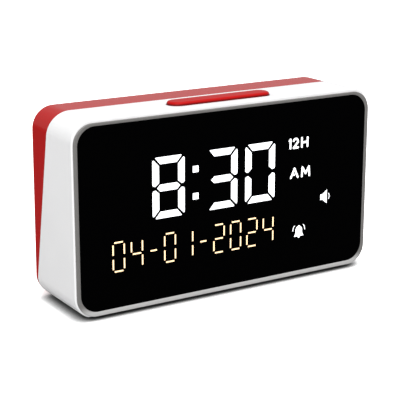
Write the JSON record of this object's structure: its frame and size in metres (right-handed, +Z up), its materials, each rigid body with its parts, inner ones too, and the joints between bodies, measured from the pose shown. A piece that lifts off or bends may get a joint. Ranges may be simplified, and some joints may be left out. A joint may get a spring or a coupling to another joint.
{
  "type": "alarm clock",
  "caption": "Bedside digital alarm clock: black window with lit segments in a grey bezel, white sleeve, red wedge-shaped rear cover and a long push bar on top.",
  "frame": {"origin": "centre of the bounding box in plan, on the plane that the rubber feet stand on", "axes": "+X to the right along the width as seen from the front, -Y out of the display, +Z up"},
  "size_m": [0.151, 0.0406, 0.0868],
  "materials": {
    "white_plastic": "fine satin",
    "grey_plastic": "satin",
    "black_window": "polished",
    "lit_white": "translucent, lit from behind",
    "lit_amber": "translucent, lit from behind",
    "diffuser_film": "frosted",
    "reflector_white": "matte",
    "board_green": "solder mask",
    "led_yellow": "moulded",
    "black_plastic": "moulded",
    "ivory_plastic": "moulded",
    "red_plastic": "smooth moulded",
    "button_red": "smooth moulded",
    "steel": "zinc plated",
    "nickel": "nickel plated",
    "capacitor_sleeve": "shrink sleeve",
    "rubber": "matte",
    "cone_paper": "pressed paper",
    "ferrite": "sintered",
    "basket_metal": "black paint",
    "foam": "foam",
    "battery_jacket": "printed jacket without any marks",
    "wire_red": "insulation",
    "wire_black": "insulation",
    "cable_grey": "insulation"
  },
  "bodies": {
    "case": {"front_housing": "white_plastic", "bezel_ring": "grey_plastic", "display_window": "black_window", "time_segments": "lit_white", "date_segments": "lit_amber", "status_icons": "lit_white", "diffuser_sheet": "diffuser_film", "reflector_frame": "reflector_white", "display_board": "board_green", "led_chips": "led_yellow", "clock_chip": "black_plastic", "quartz_crystal": "nickel", "board_capacitors": "capacitor_sleeve", "rear_cover": "red_plastic", "housing_screws": "steel", "board_screws": "steel", "rubber_feet": "rubber", "snooze_springs": "steel", "snooze_board": "board_green", "snooze_switch": "black_plastic", "button_board": "board_green", "button_switches": "black_plastic", "slide_switch": "nickel", "speaker_basket": "basket_metal", "speaker_cone": "cone_paper", "speaker_magnet": "ferrite", "speaker_gasket": "foam", "speaker_clamp": "steel", "battery_upper": "battery_jacket", "battery_lower": "battery_jacket", "battery_springs": "nickel", "battery_plates": "nickel", "power_board": "board_green", "power_socket": "nickel", "socket_tongue": "black_plastic", "ribbon_sockets": "ivory_plastic", "ribbon_cable": "cable_grey", "speaker_wires": "wire_red", "battery_wires": "wire_black", "power_wires": "wire_red", "snooze_wires": "wire_black"},
    "snooze": {"snooze_bar": "red_plastic", "snooze_plunger": "ivory_plastic"},
    "alarm_slide": {"slide_knob": "button_red"},
    "battery_lid": {"battery_door": "red_plastic"},
    "mode_key": {"mode_button": "button_red", "mode_plunger": "ivory_plastic"},
    "set_key": {"set_button": "button_red", "set_plunger": "ivory_plastic"},
    "up_key": {"up_button": "button_red", "up_plunger": "ivory_plastic"},
    "down_key": {"down_button": "button_red", "down_plunger": "ivory_plastic"},
    "alarm_key": {"alarm_button": "button_red", "alarm_plunger": "ivory_plastic"}
  },
  "joints": [
    {"name": "snooze_press", "type": "slide", "parent": "case", "child": "snooze", "axis": [0, 0, -1], "range_m": [0, 0.001], "stiffness_N_per_m": 2500, "springref_m": -0.0004, "deforming": ["snooze_springs"]},
    {"name": "mode_press", "type": "slide", "parent": "case", "child": "mode_key", "axis": [0, -1, 0], "range_m": [0, 0.0006], "stiffness_N_per_m": 2500, "springref_m": -0.0002},
    {"name": "set_press", "type": "slide", "parent": "case", "child": "set_key", "axis": [0, -1, 0], "range_m": [0, 0.0006], "stiffness_N_per_m": 2500, "springref_m": -0.0002},
    {"name": "up_press", "type": "slide", "parent": "case", "child": "up_key", "axis": [0, -1, 0], "range_m": [0, 0.0006], "stiffness_N_per_m": 2500, "springref_m": -0.0002},
    {"name": "down_press", "type": "slide", "parent": "case", "child": "down_key", "axis": [0, -1, 0], "range_m": [0, 0.0006], "stiffness_N_per_m": 2500, "springref_m": -0.0002},
    {"name": "alarm_press", "type": "slide", "parent": "case", "child": "alarm_key", "axis": [0, -1, 0], "range_m": [0, 0.0006], "stiffness_N_per_m": 2500, "springref_m": -0.0002},
    {"name": "alarm_slide_travel", "type": "slide", "parent": "case", "child": "alarm_slide", "axis": [1, 0, 0], "range_m": [0, 0.003]},
    {"name": "battery_lid_hinge", "type": "hinge", "parent": "case", "child": "battery_lid", "pos_m": [-0.03603, 0.01843, 0.0161], "axis": [-1, 0, 0], "range_deg": [0, 90]}
  ]
}
